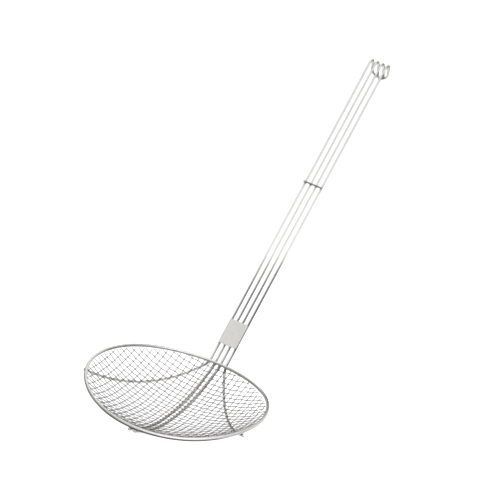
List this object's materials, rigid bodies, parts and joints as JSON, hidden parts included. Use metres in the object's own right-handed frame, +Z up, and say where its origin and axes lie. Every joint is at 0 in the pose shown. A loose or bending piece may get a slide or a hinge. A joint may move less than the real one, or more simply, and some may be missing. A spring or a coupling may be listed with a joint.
{
  "type": "wire mesh skimmer",
  "caption": "Long-handled stainless skimmer: a shallow bowl of woven square mesh in a round rim, on parallel wires that end in a hanging hook.",
  "frame": {"origin": "centre of the bowl's mouth, at the mean level of the rim", "axes": "+Z up out of the bowl's mouth, +X towards the handle, +Y to the left seen from the handle's front"},
  "size_m": [0.5104, 0.204, 0.3033],
  "materials": {
    "drawn_wire": "bright drawn and electropolished stainless steel wire",
    "rolled_band": "cold rolled stainless strip, tumbled smooth",
    "woven_mesh": "woven stainless wire, cleaned, slightly dull at the crossings",
    "satin_plate": "satin stainless sheet with faint spot-weld marks"
  },
  "bodies": {
    "root": {"rim_hoop": "drawn_wire", "rim_band": "rolled_band", "mesh_lengthwise": "woven_mesh", "mesh_crosswise": "woven_mesh", "outer_wire": "drawn_wire", "inner_wire_left": "drawn_wire", "inner_wire_right": "drawn_wire", "joining_plate": "satin_plate", "cross_wire": "drawn_wire"}
  },
  "joints": []
}
